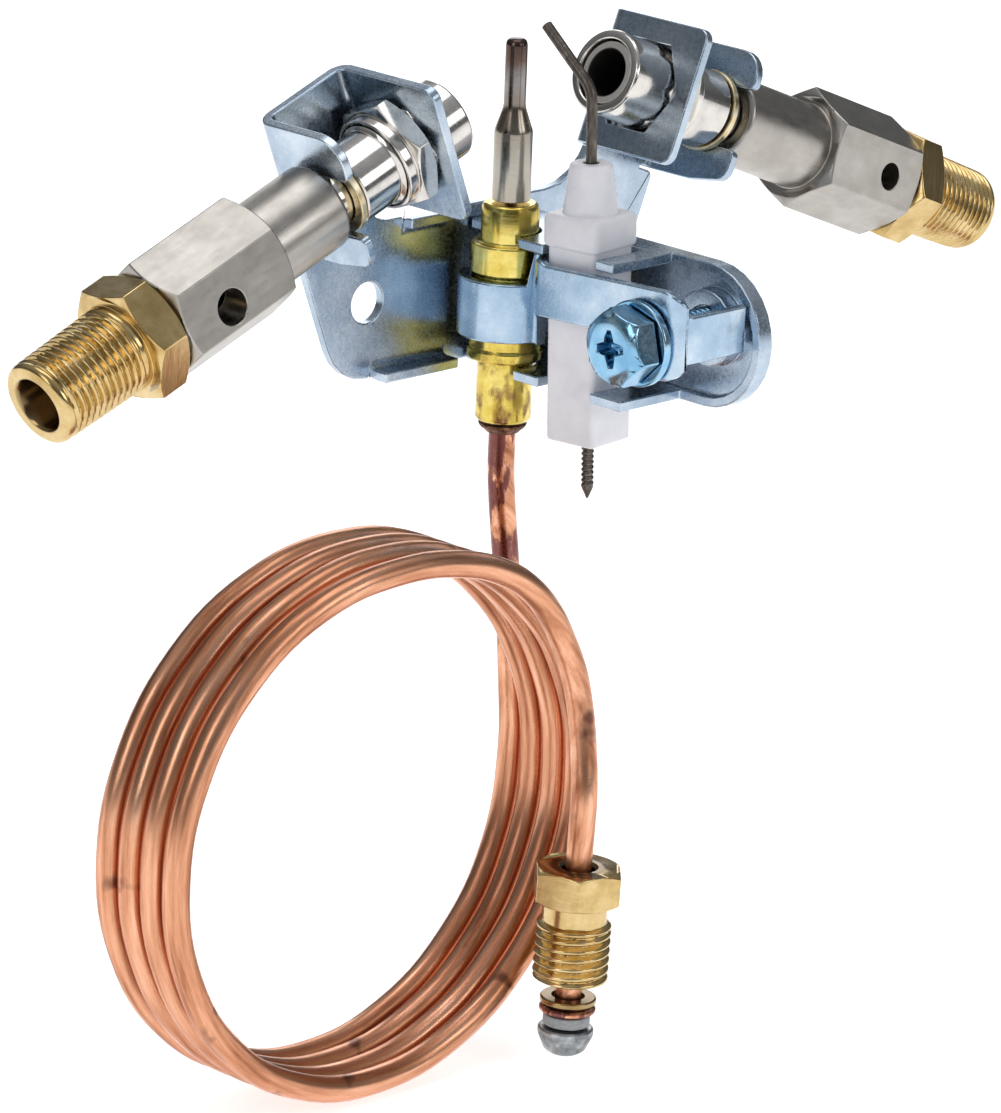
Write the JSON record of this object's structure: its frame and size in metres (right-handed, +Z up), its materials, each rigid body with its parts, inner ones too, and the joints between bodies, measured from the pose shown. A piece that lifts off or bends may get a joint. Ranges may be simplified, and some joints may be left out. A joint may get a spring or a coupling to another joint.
{
  "type": "oxygen depletion sensor pilot with thermocouple",
  "caption": "Dual-fuel pilot for a vent-free gas heater: a bracket aims two burners at a thermocouple with a coiled lead, beside a spark electrode.",
  "frame": {"origin": "on the bracket's back face, in the plane of the thermocouple's axis, level with the plate's two mounting holes", "axes": "+Z up along the thermocouple, +Y out of the bracket's back face, +X towards the right burner"},
  "size_m": [0.1512, 0.0406, 0.1188],
  "materials": {
    "zinc_plate": "bright zinc plate, satin",
    "blue_zinc": "blue-passivated zinc plate",
    "nickel_plate": "satin nickel plate",
    "brass": "machined brass",
    "copper": "drawn copper, lightly oxidised",
    "sheath_steel": "heat-tinted stainless steel",
    "electrode_steel": "drawn heat-resisting wire",
    "ring_steel": "yellow-passivated spring steel",
    "solder": "dark hard solder, matt",
    "ceramic": "white glazed ceramic",
    "tin": "tinned contact"
  },
  "bodies": {
    "root": {"bracket": "zinc_plate", "clamp_channel": "zinc_plate", "clamp_strap": "zinc_plate", "thermocouple_sheath": "sheath_steel", "inner_conductor": "copper", "thermocouple_bushing": "brass", "solder_neck": "solder", "electrode_ceramic": "ceramic", "electrode_wire": "electrode_steel", "electrode_stud": "electrode_steel", "left_burner_tube": "nickel_plate", "left_flame_liner": "electrode_steel", "left_lock_nut": "nickel_plate", "left_snap_ring": "ring_steel", "left_mixer_body": "nickel_plate", "left_inlet_fitting": "brass", "left_gas_jet": "brass", "right_burner_tube": "nickel_plate", "right_flame_liner": "electrode_steel", "right_lock_nut": "nickel_plate", "right_snap_ring": "ring_steel", "right_mixer_body": "nickel_plate", "right_inlet_fitting": "brass", "right_gas_jet": "brass", "lead_drop": "copper", "lead_coil": "copper", "lead_end": "copper", "terminal_shoulder": "copper", "terminal_insulator": "ceramic", "terminal_cone": "tin"},
    "washer": {"screw_washer": "blue_zinc"},
    "screw": {"clamp_screw": "blue_zinc"},
    "lead_washer": {"loose_washer": "brass"},
    "nut": {"union_nut": "brass"}
  },
  "joints": [
    {"name": "screw_travel", "type": "slide", "parent": "root", "child": "washer", "axis": [-1, 0, 0], "range_m": [0, 0.0032]},
    {"name": "screw_turn", "type": "hinge", "parent": "washer", "child": "screw", "pos_m": [-0.0041, -0.033, 0.00042], "axis": [-1, 0, 0], "range_deg": [0, 1440]},
    {"name": "nut_travel", "type": "slide", "parent": "root", "child": "lead_washer", "axis": [0.0259, -0.0259, 0.9993], "range_m": [0, 0.006]},
    {"name": "nut_turn", "type": "hinge", "parent": "lead_washer", "child": "nut", "pos_m": [-0.00628, -0.02862, -0.06964], "axis": [0.0259, -0.0259, 0.9993], "continuous": true}
  ],
  "couplings": [
    {"joint": "screw_travel", "follows": "screw_turn", "m_per_rad": 0.00012637}
  ]
}
